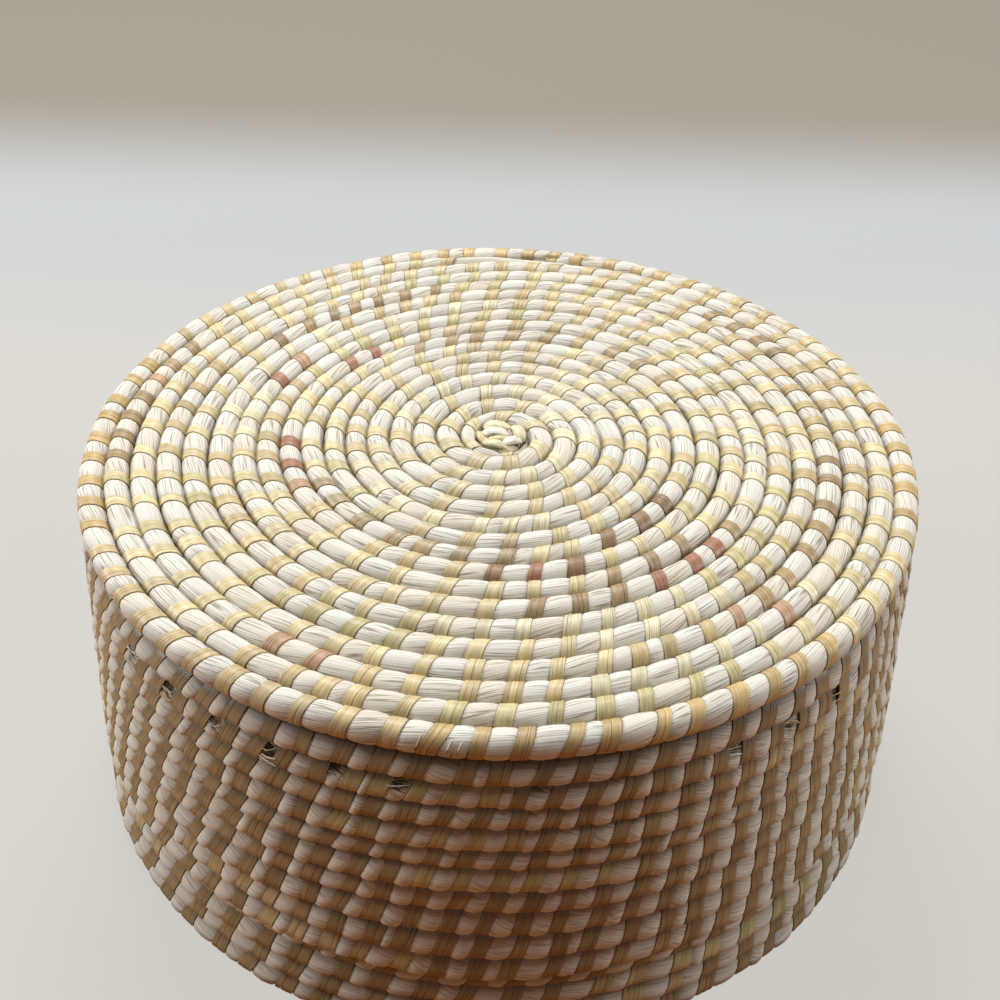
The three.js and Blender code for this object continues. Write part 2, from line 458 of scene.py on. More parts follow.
class RisingCoil(Coil):
    """Level rows of one coil that steps up to the next row at the back"""

    step_share = STEP_UP_SHARE

    def __init__(self, winding, edges, thickness, outer_at, lead, joins=WALL_JOINS, **form):
        # The heights of the edges of the rows, from the bottom up
        self.edges = np.asarray(edges)
        self.rows = len(edges) - 1
        self.thickness = thickness
        self.outer_at = outer_at
        # The thin ends stop a little short of a whole step
        first = -0.93 * STEP_UP_SHARE
        last = self.rows - 0.07 * STEP_UP_SHARE
        super().__init__(winding, first, last, lead, joins, **form)

    def level(self, turn):
        row = np.floor(turn)
        return row + smooth((turn - row - 1 + STEP_UP_SHARE) / STEP_UP_SHARE)

    def turn_at(self, row, degrees):
        """How many turns along the coil an angle is, in a row counted from the bottom."""
        share = self.winding * (math.radians(degrees) - BACK_ANGLE) / (2 * math.pi) - STEP_UP_SHARE / 2
        return row + share % 1

    def band(self, turn):
        level = self.level(turn)
        numbers = np.arange(self.rows + 1)
        last_row = self.rows - 1
        low_level = np.where(level > last_row, np.maximum(last_row, level - END_LAP), level)
        high_level = np.where(level < 0, np.minimum(1, level + 1 + END_LAP), level + 1)
        low = np.interp(low_level, numbers, self.edges)
        high = np.interp(high_level, numbers, self.edges)
        outer = self.outer_at((low + high) / 2)
        # The two ends of the coil thin out to a quarter of its thickness
        fullness = smooth(1.4 * np.minimum(level + 1, self.rows - level))
        middle = outer - self.thickness / 2
        half = self.thickness / 2 * (0.25 + 0.75 * fullness)
        return middle - half, middle + half, low, high

    def stitch_turns(self, spacing, random, turning_columns=0.0, spread=0.11):
        """Stitches at an even spacing, each a little off as sewn by hand."""
        # A little under a whole number for each turn, so that each row is sewn a little further on
        per_turn = round(float(self.girth(self.rows / 2)) / spacing) - 0.15
        count = int((self.last - self.first) * per_turn) - 1
        steps = np.arange(count) + 0.8 + random.uniform(-spread, spread, count)
        turns = self.first + steps / per_turn
        # The columns may lean over more on one side of the basket
        return turns - turning_columns * (turns - self.first) * np.cos(self.angle(turns)) / per_turn


class Sewing:
    """The stitches of one coil: where they are, how they lean, and the strands that each is made of"""

    def __init__(self, coil, palette, spacing, seed, lean, width=None, turning=0.0, **settings):
        random = np.random.default_rng(seed)
        width = width or stitches().strip_width
        self.random = random
        self.coil = coil
        self.turns = coil.stitch_turns(spacing, random, **settings)
        count = len(self.turns)
        # The lean may grow towards one side of the basket
        one_side = np.cos(coil.angle(self.turns))
        self.lean = lean * random.uniform(*LEANS, count) * (1 - turning * one_side)
        self.swell = random.uniform(*SWELLS, count + 1)
        self.lift = random.uniform(*LIFTS, count)
        self.reach = width / 2 * random.uniform(*WIDTHS, count)
        tones = stitch_tones(count, random, palette)
        strands = []
        for index in range(count):
            full = 2 * self.reach[index]
            parts = random.choice(STRAND_COUNTS, p=STRAND_CHANCES)
            left = -full / 2
            for share in random.dirichlet([STRAND_EVENNESS] * parts):
                half = share * full / 2
                tone = tones[index] * random.uniform(*STRAND_TONES)
                strands.append((index, left + half, half - STRAND_TRIM, tone))
                left += share * full
        self.stitch, self.offset, self.half_width, self.tone = (np.array(part) for part in zip(*strands))
        self.seed = random.uniform(0, 1, len(strands))

    def nearest(self, spot):
        """The stitch whose outside is nearest to a point."""
        places = self.coil.point(self.turns, np.full(len(self.turns), math.pi / 2), 0.0)
        return int(np.argmin(np.linalg.norm(places[:, :2] - np.array(spot[:2]), axis=1)))

    def fade(self, colour, strength):
        """Blends the strands with a colour, by a strength for each stitch."""
        share = strength[self.stitch][:, None]
        self.tone = self.tone + share * (np.array(colour) - self.tone)

    def stain(self, index, colour):
        """Gives all strands of a stitch a colour."""
        self.tone[self.stitch == index] = colour


def colour_of(name):
    return np.array(getattr(colours(), name))


def stitch_tones(count, random, palette):
    """Colours of the stitches: one strip sews a run of them, and each differs a little."""
    shades = [colour_of(name) for name, chance in palette]
    chances = [chance for name, chance in palette]
    tones = np.zeros((count, 3))
    at = 0
    while at < count:
        run = random.integers(*RUN_LENGTHS)
        shade = shades[random.choice(len(shades), p=chances)]
        tones[at : at + run] = shade * random.uniform(*RUN_TONES)
        at += run
    return tones * random.uniform(*STITCH_TONES, (count, 1))


# Making meshes


def new_object(name, bm, material):
    """Turns a bmesh into an object of the scene."""
    mesh = bpy.data.meshes.new(name)
    bm.to_mesh(mesh)
    bm.free()
    mesh.materials.append(bpy.data.materials[material])
    thing = bpy.data.objects.new(name, mesh)
    bpy.context.scene.collection.objects.link(thing)
    return thing


def finish_piece(name, bm, material, body):
    """Makes a smooth piece that rides on a body and has one material."""
    bmesh.ops.recalc_face_normals(bm, faces=bm.faces)
    for face in bm.faces:
        face.smooth = True
    piece = new_object(name, bm, material)
    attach(piece, body)
    return piece


def move_points(bm, place, cap=None):
    """Moves each point of a bmesh to where place puts its flat position, and stores its marks there."""
    spots, marks = place(np.array([vertex.co[:] for vertex in bm.verts]))
    for name, values in marks.items():
        layer = bm.verts.layers.float.new(name)
        for vertex, value in zip(bm.verts, values):
            vertex[layer] = value
    for vertex, spot in zip(bm.verts, cap(spots) if cap else spots):
        vertex.co = spot
    bmesh.ops.remove_doubles(bm, verts=bm.verts, dist=SAME_POINT)


def change_map(bm, change):
    """Changes the place on the map of every corner."""
    uv = bm.loops.layers.uv["UVMap"]
    for face in bm.faces:
        for loop in face.loops:
            loop[uv].uv = change(*loop[uv].uv)


def strip_grids(across, around, tones, seeds):
    """A row of flat grids, one for each strip, with the colours of the strips."""
    bm = bmesh.new()
    bm.loops.layers.uv.new("UVMap")
    for number in range(len(tones)):
        middle = Matrix.Translation((2 * number, 0, 0))
        bmesh.ops.create_grid(
            bm, x_segments=across, y_segments=around, size=0.5, matrix=middle, calc_uvs=True
        )
    tone = bm.verts.layers.float_color.new("tone")
    seed = bm.verts.layers.float.new("seed")
    for vertex in bm.verts:
        number = round(vertex.co.x / 2)
        vertex[tone] = (*tones[number], 1)
        vertex[seed] = seeds[number]
    return bm


def bundle_phases(steps):
    """Stitch number, with its share of the way to the next one, at grid steps along a bundle."""
    per_stitch = len(BUNDLE_SHARES)
    whole = np.floor_divide(steps, per_stitch)
    return whole + BUNDLE_SHARES[(steps - whole * per_stitch).astype(int)]


def straw_bundle(name, sewing, pillow, body, node, cap=None, worn=()):
    """The straw of one coil: a tube that the stitches nip in, and that swells between them."""
    coil = sewing.coil
    turns = np.concatenate([[coil.first], sewing.turns, [coil.last]])
    lean = np.concatenate([[0], sewing.lean, [0]])
    reach = np.concatenate([[0], sewing.reach, [0]])
    spacing = coil.girth(turns[:-1]) * np.diff(turns)
    covered = np.minimum(MOST_COVERED, reach[:-1] / spacing)
    covered_next = np.minimum(MOST_COVERED, reach[1:] / spacing)
    steps = len(BUNDLE_SHARES) * (len(turns) - 1)
    seam = coil.lead + math.pi

    def place(flat):
        step = np.rint((flat[:, 0] + 0.5) * steps)
        side = seam + 2 * math.pi * (flat[:, 1] + 0.5)
        phase = bundle_phases(step)
        segment = np.minimum(np.floor(phase).astype(int), len(turns) - 2)
        share = phase - segment
        bare = (share - STITCH_SHARE) / (1 - 2 * STITCH_SHARE)
        swell = pillow * sewing.swell[segment] * (1 - np.abs(2 * np.clip(bare, 0, 1) - 1) ** 3)
        swell = swell * (1 - coil.hang * smooth((np.sin(side) + 1) / 1.2))
        # The map's shares are stretched so that each strip's edges come where that strip ends
        first, last = covered[segment], 1 - covered_next[segment]
        true_share = np.where(bare < 0, share / STITCH_SHARE * first, first + bare * (last - first))
        true_share = np.where(bare > 1, 1 - (1 - share) / STITCH_SHARE * (1 - last), true_share)
        turn = turns[segment] + true_share * (turns[segment + 1] - turns[segment])
        shift = (lean[segment] + true_share * (lean[segment + 1] - lean[segment])) * np.cos(side - coil.lead)
        girth = coil.girth(turn)
        turn = turn + shift / girth
        hollow = np.zeros(len(flat))
        for worn_turn, worn_side, depth in worn:
            along = (turn - worn_turn) * girth / WORN_HALF_LENGTH
            turned = angle_from(worn_side, side) / WORN_HALF_ANGLE
            near = np.exp(-(along**2) - turned**2)
            swell = swell - depth * near
            hollow = np.maximum(hollow, near)
        spots = coil.point(np.clip(turn, coil.first, coil.last), side, swell)
        # Each point carries how much painted shade its crevice gets
        return spots, {"broken": hollow, "crevice": coil.crevice(side)}

    bm = bmesh.new()
    bm.loops.layers.uv.new("UVMap")
    bmesh.ops.create_grid(bm, x_segments=steps, y_segments=BUNDLE_SIDES, size=0.5, calc_uvs=True)
    phases = bundle_phases(np.arange(steps + 1))
    change_map(bm, lambda x, y: (phases[round(x * steps)], y))
    move_points(bm, place, cap)
    bmesh.ops.holes_fill(bm, edges=[edge for edge in bm.edges if edge.is_boundary], sides=0)
    straw = WALL_STRAW if body == "basket" else LID_STRAW
    piece = finish_piece(name, bm, straw, body)
    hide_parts(node)


def raffia_strips(name, sewing, body, cap=None):
    """The stitches of one coil: each strand is a flat strip bent round the straw and closed on itself."""
    coil = sewing.coil
    seam = coil.lead + math.pi

    def place(flat):
        number = np.rint(flat[:, 0] / 2).astype(int)
        column = np.rint((flat[:, 0] - 2 * number + 0.5) * STRIP_ACROSS).astype(int)
        side = seam + 2 * math.pi * (flat[:, 1] + 0.5)
        stitch = sewing.stitch[number]
        across = sewing.offset[number] + STRIP_PLACES[column] * sewing.half_width[number]
        shift = sewing.lean[stitch] * np.cos(side - coil.lead) + across
        turn = sewing.turns[stitch] + shift / coil.girth(sewing.turns[stitch])
        rise = stitches().strip_proud * sewing.lift[stitch] * STRIP_HEIGHTS[column]
        spots = coil.point(np.clip(turn, coil.first, coil.last), side, rise)
        # Each point carries how much painted shade its crevice gets
        return spots, {"crevice": coil.crevice(side)}

    bm = strip_grids(STRIP_ACROSS, STRIP_AROUND, sewing.tone, sewing.seed)
    # The two lines along the edges of a strip are creases
    for edge in bm.edges:
        columns = [(vertex.co.x / 2 - round(vertex.co.x / 2)) * 2 * STRIP_ACROSS for vertex in edge.verts]
        edge.smooth = abs(columns[0] - columns[1]) > 0.1 or abs(columns[0]) < 0.1
    change_map(bm, lambda x, y: (0.5 + 0.5 * STRIP_PLACES[round(x * STRIP_ACROSS)], y))
    move_points(bm, place, cap)
    finish_piece(name, bm, RAFFIA, body)


def bent_tubes(name, body, tubes, blunt):
    """Raffia tubes with blunt or thin ends: three points on the line, half width, half height and colour."""
    starts, middles, stops = (np.array([tube[at] for tube in tubes]) for at in range(3))
    flats = np.array([tube[3:5] for tube in tubes])

    def place(flat):
        number = np.rint(flat[:, 0] / 2).astype(int)
        share = (flat[:, 0] - 2 * number + 0.5)[:, None]
        around = 2 * math.pi * (flat[:, 1] + 0.5) - math.pi / 2
        # Painted shade darkens the sides and the underside of a tube, where others lie against it
        shade = 0.9 * smooth(0.45 - np.sin(around))
        start, stop = starts[number], stops[number]
        bend = 2 * middles[number] - (start + stop) / 2
        line = (1 - share) ** 2 * start + 2 * share * (1 - share) * bend + share**2 * stop
        ahead = (1 - share) * (bend - start) + share * (stop - bend)
        sideways = np.cross(ahead, NEARLY_UP)
        sideways = sideways / np.linalg.norm(sideways, axis=1, keepdims=True)
        upwards = np.cross(sideways, ahead)
        upwards = upwards / np.linalg.norm(upwards, axis=1, keepdims=True)
        girth = np.sqrt(1 - np.abs(2 * share - 1) ** blunt)
        wide = girth * flats[number, :1] * np.cos(around)[:, None]
        high = girth * flats[number, 1:] * np.sin(around)[:, None]
        return line + wide * sideways + high * upwards, {"crevice": shade}

    tones = [tube[5] for tube in tubes]
    bm = strip_grids(TUBE_ALONG, TUBE_AROUND, tones, np.arange(len(tubes)) / len(tubes))
    change_map(bm, lambda x, y: (y, x))
    move_points(bm, place)
    finish_piece(name, bm, RAFFIA, body)


# Materials


def add_node(tree, kind, inputs=None, **options):
    """Adds a node with these options, where an input is a value or another node's output."""
    node = tree.nodes.new(kind)
    for name, value in options.items():
        setattr(node, name, value)
    for name, value in (inputs or {}).items():
        if isinstance(value, bpy.types.NodeSocket):
            tree.links.new(value, node.inputs[name])
        else:
            node.inputs[name].default_value = value
    return node


def calculate(tree, operation, *values):
    return add_node(tree, "ShaderNodeMath", dict(enumerate(values)), operation=operation).outputs[0]


def eased(tree, value, low, high, start=0.0, end=1.0):
    """Goes smoothly from start to end while a value goes from low to high."""
    inputs = {"Value": value, "From Min": low, "From Max": high, "To Min": start, "To Max": end}
    return add_node(tree, "ShaderNodeMapRange", inputs, interpolation_type="SMOOTHSTEP").outputs["Result"]


def mixed(tree, share, first, second, blend="MIX"):
    inputs = {0: share, 6: first, 7: second}
    return add_node(tree, "ShaderNodeMix", inputs, data_type="RGBA", blend_type=blend).outputs[2]


def combined(tree, *values):
    return add_node(tree, "ShaderNodeCombineXYZ", dict(enumerate(values))).outputs[0]


def noise(tree, parts, scales, detail):
    """Noise over coordinates that each have their own scale."""
    scaled = [calculate(tree, "MULTIPLY", part, scale) for part, scale in zip(parts, scales)]
    inputs = {"Vector": combined(tree, *scaled), "Scale": 1.0, "Detail": detail, "Roughness": 0.6}
    return add_node(tree, "ShaderNodeTexNoise", inputs).outputs["Fac"]


def attribute(tree, name):
    return add_node(tree, "ShaderNodeAttribute", attribute_name=name)


def map_parts(tree):
    """The two directions of a piece's own map."""
    uv = add_node(tree, "ShaderNodeUVMap", uv_map="UVMap")
    parts = add_node(tree, "ShaderNodeSeparateXYZ", {0: uv.outputs[0]})
    return parts.outputs["X"], parts.outputs["Y"]


def paint(name):
    return (*getattr(colours(), name), 1)


def new_material(name, roughness, specular):
    """A material with only its shader, linked to the output."""
    material = bpy.data.materials.new(name)
    material.use_nodes = True
    tree = material.node_tree
    tree.nodes.clear()
    shader = add_node(
        tree, "ShaderNodeBsdfPrincipled", {"Roughness": roughness, "Specular IOR Level": specular}
    )
    add_node(tree, "ShaderNodeOutputMaterial", {"Surface": shader.outputs["BSDF"]})
    return tree, shader


def finish_surface(tree, shader, colour, height, strength, distance):
    """Darkens a colour with painted shade in the crevices between the turns, and gives the surface its
    relief.
    """
    # The crevice mark blends in the colour of the painted shade
    depth = calculate(tree, "MULTIPLY", attribute(tree, "crevice").outputs["Fac"], 0.92)
    tree.links.new(mixed(tree, depth, colour, paint("crevice"), "MULTIPLY"), shader.inputs["Base Color"])
    bump = add_node(tree, "ShaderNodeBump", {"Strength": strength, "Distance": distance, "Height": height})
    tree.links.new(bump.outputs[0], shader.inputs["Normal"])


def make_straw_material(name, line_strength):
    """Bundle of split straw: pale dry fibres that run along the coil, with fine dark lines between them."""
    tree, shader = new_material(name, roughness=0.62, specular=0.3)
    # The map runs by one from stitch to stitch along the coil, and once round it
    along, around = map_parts(tree)
    share = calculate(tree, "FRACT", along)
    bunch = calculate(tree, "FLOOR", along)
    chance = add_node(tree, "ShaderNodeTexWhiteNoise", {"W": bunch}, noise_dimensions="1D").outputs["Value"]
    # Each bunch between two stitches has its own twist
    twist = calculate(tree, "MULTIPLY_ADD", chance, 6.5, -0.5)
    lay = calculate(tree, "MULTIPLY", share, twist)
    # Fibres 0.7 mm wide on a girth of 28 mm, each some 40 mm long
    row = calculate(tree, "MULTIPLY_ADD", around, 40.0, lay)
    own_start = calculate(tree, "MULTIPLY", bunch, 5.3)
    place = calculate(tree, "MULTIPLY_ADD", along, 0.33, own_start)
    edges = add_node(
        tree,
        "ShaderNodeTexVoronoi",
        {"Vector": combined(tree, place, row), "Scale": 1.0},
        voronoi_dimensions="2D",
        feature="DISTANCE_TO_EDGE",
    ).outputs["Distance"]
    grain = noise(tree, (place, row), (2.4, 1.8), detail=2.0)
    # Where the straw is broken, the lines between the fibres open
    broken = attribute(tree, "broken").outputs["Fac"]
    width = calculate(tree, "MULTIPLY_ADD", broken, 0.4, 0.12)
    line = eased(tree, edges, 0.0, width, 1.0, 0.0)
    strength = eased(tree, grain, 0.3, 0.6, 0.5 * line_strength, line_strength)
    seen_line = calculate(tree, "MULTIPLY", line, strength)
    pale = mixed(tree, eased(tree, chance, 0.3, 1.0), paint("straw_pale"), paint("straw_cream"))
    grained = mixed(tree, eased(tree, grain, 0.6, 0.3, 0.0, 0.5), pale, paint("straw_cream"), "MULTIPLY")
    lined = mixed(tree, seen_line, grained, paint("straw_shade"))
    # Painted shade darkens a thin line where a strip's edge nips the bundle, and the opened lines and the
    # hollow where the straw is broken
    nearness = calculate(tree, "PINGPONG", along, 0.5)
    nip = eased(tree, nearness, 0.200, 0.215, 0.75, 0.0)
    hole = calculate(tree, "MULTIPLY", line, eased(tree, broken, 0.25, 0.7))
    hollow = calculate(tree, "MAXIMUM", hole, eased(tree, broken, 0.55, 0.9, 0.0, 0.9))
    crack_and_hole_shade = calculate(tree, "MAXIMUM", nip, hollow)
    colour = mixed(tree, crack_and_hole_shade, lined, paint("straw_dark"))
    height = calculate(tree, "MULTIPLY_ADD", grain, 0.4, calculate(tree, "SUBTRACT", 1.0, line))
    finish_surface(tree, shader, colour, height, strength=0.5 * line_strength, distance=0.3 * MILLI)


def make_raffia_material():
    """Split raffia leaf: a flat satin strip with fine veins along it, with painted shade along its edges."""
    tree, shader = new_material(RAFFIA, roughness=0.4, specular=0.45)
    across, length = map_parts(tree)
    tone = attribute(tree, "tone").outputs["Color"]
    parts = (across, length, attribute(tree, "seed").outputs["Fac"])
    # Veins 0.4 mm apart on a strip 5 mm wide, 10 mm long on a girth of 28 mm, and streaks of 1.5 mm
    veins = noise(tree, parts, (12.0, 2.8, 91.0), detail=3.0)
    streaks = noise(tree, parts, (3.5, 4.0, 91.0), detail=1.0)
    vein_light = eased(tree, veins, 0.3, 0.7, 0.80, 1.14)
    veined = calculate(tree, "MULTIPLY", vein_light, eased(tree, streaks, 0.3, 0.7, 0.86, 1.1))
    # Painted shade darkens each strand along its edges
    edge = calculate(tree, "PINGPONG", across, 0.5)
    shade = calculate(tree, "MULTIPLY", veined, eased(tree, edge, 0.0, 0.02, 0.55, 1.0))
    colour = mixed(tree, 1.0, tone, shade, "MULTIPLY")
    finish_surface(tree, shader, colour, veins, strength=0.4, distance=0.2 * MILLI)


def make_floor_material():
    """Matt painted board: pale and even to the eye near the basket, with a band of painted sheen and painted
    shade further back, browner in the light that it throws up.
    """
    tree, shader = new_material(BOARD, roughness=0.8, specular=0.1)
    place = add_node(tree, "ShaderNodeTexCoord")
    parts = add_node(tree, "ShaderNodeSeparateXYZ", {0: place.outputs["Object"]})
    back = parts.outputs["Y"]
    # Further back the floor takes a band of painted sheen, then the darker painted shade of the backdrop
    near_tint = mixed(tree, eased(tree, back, 0.24, 0.44), paint("floor"), paint("band"))
    tint = mixed(tree, eased(tree, back, 0.46, 0.66), near_tint, paint("distance"))
    seen = add_node(tree, "ShaderNodeLightPath").outputs["Is Camera Ray"]
    lit_tint = mixed(tree, 1.0, tint, (0.17, 0.17, 0.17, 1), "MULTIPLY")
    # The light that it throws up is brownest in front of the basket
    aside = calculate(tree, "ABSOLUTE", parts.outputs["X"])
    front = eased(tree, calculate(tree, "MULTIPLY_ADD", aside, 0.55, back), 0.0, -0.12)
    thrown = mixed(tree, front, paint("side_bounce"), paint("bounce"))
    tree.links.new(mixed(tree, seen, thrown, lit_tint), shader.inputs["Base Color"])
    # Most of what the eye sees of the floor is its own even glow, which lights nothing
    tree.links.new(tint, shader.inputs["Emission Color"])
    tree.links.new(calculate(tree, "MULTIPLY", seen, 0.78), shader.inputs["Emission Strength"])


# The coils

# The colours of the strips, and how often each is used
LID_PALETTE = (("honey", 0.40), ("gold", 0.32), ("cream", 0.12), ("olive", 0.08), ("brown", 0.08))
RIM_PALETTE = (("amber", 0.4), ("honey", 0.4), ("gold", 0.2))
WALL_PALETTE = (("brown", 0.82), ("honey", 0.13), ("olive", 0.05))
KNOT_PALETTE = (("cream", 0.8), ("gold", 0.2))

# Folded strips of a centre knot, in mm from its middle and its top: three points, half width and colour
KNOT_FOLDS = (
    ((-6.6, 4.4, -2.2), (-1.6, 6.2, -0.7), (4.4, 4.6, -2.6), 2.7, "cream"),
    ((-8.0, 3.6, -2.8), (-7.6, -0.4, -1.5), (-5.4, -4.2, -2.8), 1.6, "gold"),
    ((-6.8, 0.6, -2.4), (-2.0, 1.7, -0.6), (4.4, 0.4, -2.6), 2.7, "straw_cream"),
    ((-6.6, -3.2, -2.4), (-2.2, -5.6, -0.9), (3.2, -5.8, -2.6), 2.4, "cream"),
    ((4.0, 6.4, -2.2), (6.6, 2.2, -0.4), (7.2, -3.4, -2.6), 2.6, "cream"),
    ((7.0, -1.6, -2.8), (4.6, -3.6, -0.7), (0.2, -5.2, -2.2), 2.5, "straw_cream"),
    ((-5.2, -2.0, -2.4), (-0.6, -1.7, -1.5), (4.6, -1.4, -2.4), 1.7, "gold"),
)
# Half the thickness of a fold
FOLD_HEIGHT = 1.15 * MILLI

# How much more the stitches of the wall lean towards one side of the basket, and their columns
LEAN_TURNING = 0.15
COLUMN_TURNING = 0.2

# How far the straw of the wall swells between the stitches
WALL_PILLOW = 0.9 * MILLI

# Higher than everything
SKY = 1.0


def flat_coil(winding, outer_radius, bottom_at):
    turns = round((outer_radius - sizes().spiral_start) / sizes().flat_width)
    return FlatCoil(winding, sizes().spiral_start, outer_radius, turns, bottom_at, sizes().flat_thickness)


def lid_coil():
    return flat_coil(CLOCKWISE, sizes().lid_radius - sizes().rim_coil, lid_bottom)


def floor_coil():
    return flat_coil(ANTICLOCKWISE, foot_radius() - sizes().wall_thickness, lambda radius: 0 * radius)


def rim_coil():
    coil = sizes().rim_coil
    radius = sizes().lid_radius
    edges = (lid_bottom_height(), lid_bottom_height() + coil)
    return RisingCoil(CLOCKWISE, edges, coil, lambda height: radius, math.radians(-45), RIM_JOINS, power=2.2)


def wall_rows(edges, outer_at, tallness=WALL_FULLNESS):
    thickness = sizes().wall_thickness
    lead = math.radians(90)
    # The wall's crevices get a stronger painted shade
    form = {"shear": 0.36, "power": 2.6, "hang": 0.45, "grime": 1.5, "tallness": tallness}
    return RisingCoil(ANTICLOCKWISE, edges, thickness, outer_at, lead, sway=wall_sway, **form)


def locating_coil():
    radius = wall_top_radius() - sizes().wall_thickness - sizes().ring_clearance
    top = lid_bottom(radius) + 0.2 * MILLI
    edges = top - sizes().row_height * np.arange(LOCATING_ROWS, -1, -1)
    return RisingCoil(CLOCKWISE, edges, sizes().ring_thickness, lambda height: radius, math.radians(-90))


def knot_coil(bottom):
    """The ring at the start of a flat coil."""
    radius = sizes().spiral_start - 0.1 * MILLI
    edges = (bottom + 0.4 * MILLI, bottom + sizes().flat_thickness - 1.6 * MILLI)
    return RisingCoil(CLOCKWISE, edges, 0.72 * radius, lambda height: radius, math.radians(90), FLAT_JOINS)


# Strips stop this far from a face that they rest on, and the straw under them a strip's thickness further
STRIP_REST = 0.1 * MILLI
STRAW_REST = 0.5 * MILLI

# What is pressed still gives by this share, so that two layers pressed on one face stay apart
PRESS_GIVE = 0.04


def pressed_between(low, high, rest):
    """Presses points that come within a rest of two heights, as where two pieces lie on each other."""

    def press(spots):
        height = spots[:, 2]
        pressed = np.clip(height, low + rest, high - rest)
        spots[:, 2] = pressed + PRESS_GIVE * (height - pressed)
        return spots

    return press


def wall_sewing(coil, spacing, seed, lean, width, columns=0.0):
    """The stitches of a coil of the wall, where width is a share of the usual strip's."""
    width = width * stitches().strip_width
    return Sewing(coil, WALL_PALETTE, spacing, seed, lean, width, LEAN_TURNING, turning_columns=columns)


def sewn_coil(name, node, body, sewing, pillow, between=None, worn=(), strips="stitches"):
    """The straw of one coil and the strips round it, which may be pressed between two heights."""
    press_straw = pressed_between(*between, STRAW_REST) if between else None
    press_strips = pressed_between(*between, STRIP_REST) if between else None
    straw_bundle(f"{name}_straw", sewing, pillow, body, node, press_straw, worn)
    raffia_strips(f"{name}_{strips}", sewing, body, press_strips)


def loose_fibre(coil, turns, sides, rises, width, colour):
    """A thin fibre over three points of a coil, each a rise in mm above its surface."""
    points = [coil.point(turn, side, rise * MILLI) for turn, side, rise in zip(turns, sides, rises)]
    return (*points, width * MILLI, FIBRE_HEIGHT, colour_of(colour))


def loose_straw(coil, worn, random):
    """Fibres that cross the places where the straw of a coil is broken."""
    fibres = []
    for turn, side, depth in worn:
        for number in range(FIBRE_COUNT):
            half_length = random.uniform(2.5, 4.5) * MILLI / float(coil.girth(turn))
            start = side + random.uniform(-0.6, 0.6)
            sides = (start, start + random.uniform(-0.2, 0.2), start + random.uniform(-0.4, 0.4))
            turns = (turn - half_length, turn + random.uniform(-0.3, 0.3) * half_length, turn + half_length)
            rises = (0.1, random.uniform(-0.3, 0.9), random.uniform(0.1, 0.8))
            colour = random.choice(["straw_pale", "straw_cream", "honey"])
            fibres.append(loose_fibre(coil, turns, sides, rises, random.uniform(0.15, 0.35), colour))
    return fibres


class BASKET_OT_materials(bpy.types.Operator):
    """Makes the straw, raffia and floor materials"""

    bl_idname = "basket.materials"
    bl_label = "Materials"

    def execute(self, context):
        make_straw_material(LID_STRAW, line_strength=0.9)
        make_straw_material(WALL_STRAW, line_strength=0.6)
        make_raffia_material()
        make_floor_material()
        return {"FINISHED"}


class BASKET_OT_lid_top(bpy.types.Operator):
    """Coils the flat top of the lid and sews it"""

    bl_idname = "basket.lid_top"
    bl_label = "Lid top"

    def execute(self, context):
        coil = lid_coil()
        sewing = Sewing(coil, LID_PALETTE, stitches().lid_spacing, seed=11, lean=1.4 * MILLI)
        # The strips are paler towards the middle, from a radius of 110 mm to one of 20 mm
        out = (coil.middle_radius(sewing.turns) - 20 * MILLI) / (90 * MILLI)
        sewing.fade(colours().cream, 0.4 * (1 - smooth(out)))
        for row, colour, angles in STAINS:
            radius = sizes().lid_radius - sizes().rim_coil - (row - 1.5) * coil.pitch
            for angle in np.radians(angles):
                index = sewing.nearest((radius * math.cos(angle), radius * math.sin(angle)))
                sewing.stain(index, colour_of(colour))
        sewn_coil("lid_coil", "lid_coil", "lid", sewing, pillow=0.5 * MILLI)
        return {"FINISHED"}


class BASKET_OT_lid_rim(bpy.types.Operator):
    """Coils the thick rim of the lid and sews it"""

    bl_idname = "basket.lid_rim"
    bl_label = "Lid rim"

    def execute(self, context):
        coil = rim_coil()
        lean = 1.8 * MILLI
        sewing = Sewing(coil, RIM_PALETTE, stitches().rim_spacing, seed=12, lean=lean)
        between = (lid_bottom_height(), SKY)
        sewn_coil("lid_rim", "lid_rim_coil", "lid", sewing, pillow=0.55 * MILLI, between=between)
        # Torn strands lie beside the stitches at the front, and their ends stand off
        ends = []
        for degrees, reach, width, colour in RIM_ENDS:
            sides = np.radians([80, 10, reach])
            leans = lean * np.cos(sides - coil.lead) / (2 * math.pi * sizes().lid_radius)
            turns = coil.turn_at(0, degrees) + leans
            ends.append(loose_fibre(coil, turns, sides, (0.3, 0.5, 1.0), width, colour))
        bent_tubes("lid_rim_torn_strands", "lid", ends, blunt=8)
        return {"FINISHED"}


class BASKET_OT_locating_ring(bpy.types.Operator):
    """Coils the ring under the lid that locates it in the mouth"""

    bl_idname = "basket.locating_ring"
    bl_label = "Locating ring"

    def execute(self, context):
        sewing = Sewing(locating_coil(), LID_PALETTE, stitches().lid_spacing, seed=13, lean=1.2 * MILLI)
        sewn_coil("locating_ring", "lid_locating_ring", "lid", sewing, pillow=0.4 * MILLI)
        return {"FINISHED"}


class BASKET_OT_floor(bpy.types.Operator):
    """Coils the floor of the basket and sews it"""

    bl_idname = "basket.floor"
    bl_label = "Floor"

    def execute(self, context):
        sewing = Sewing(floor_coil(), LID_PALETTE, stitches().lid_spacing, seed=14, lean=1.4 * MILLI)
        sewn_coil("floor_coil", "base_coil", "basket", sewing, pillow=0.5 * MILLI, between=(0.0, SKY))
        return {"FINISHED"}


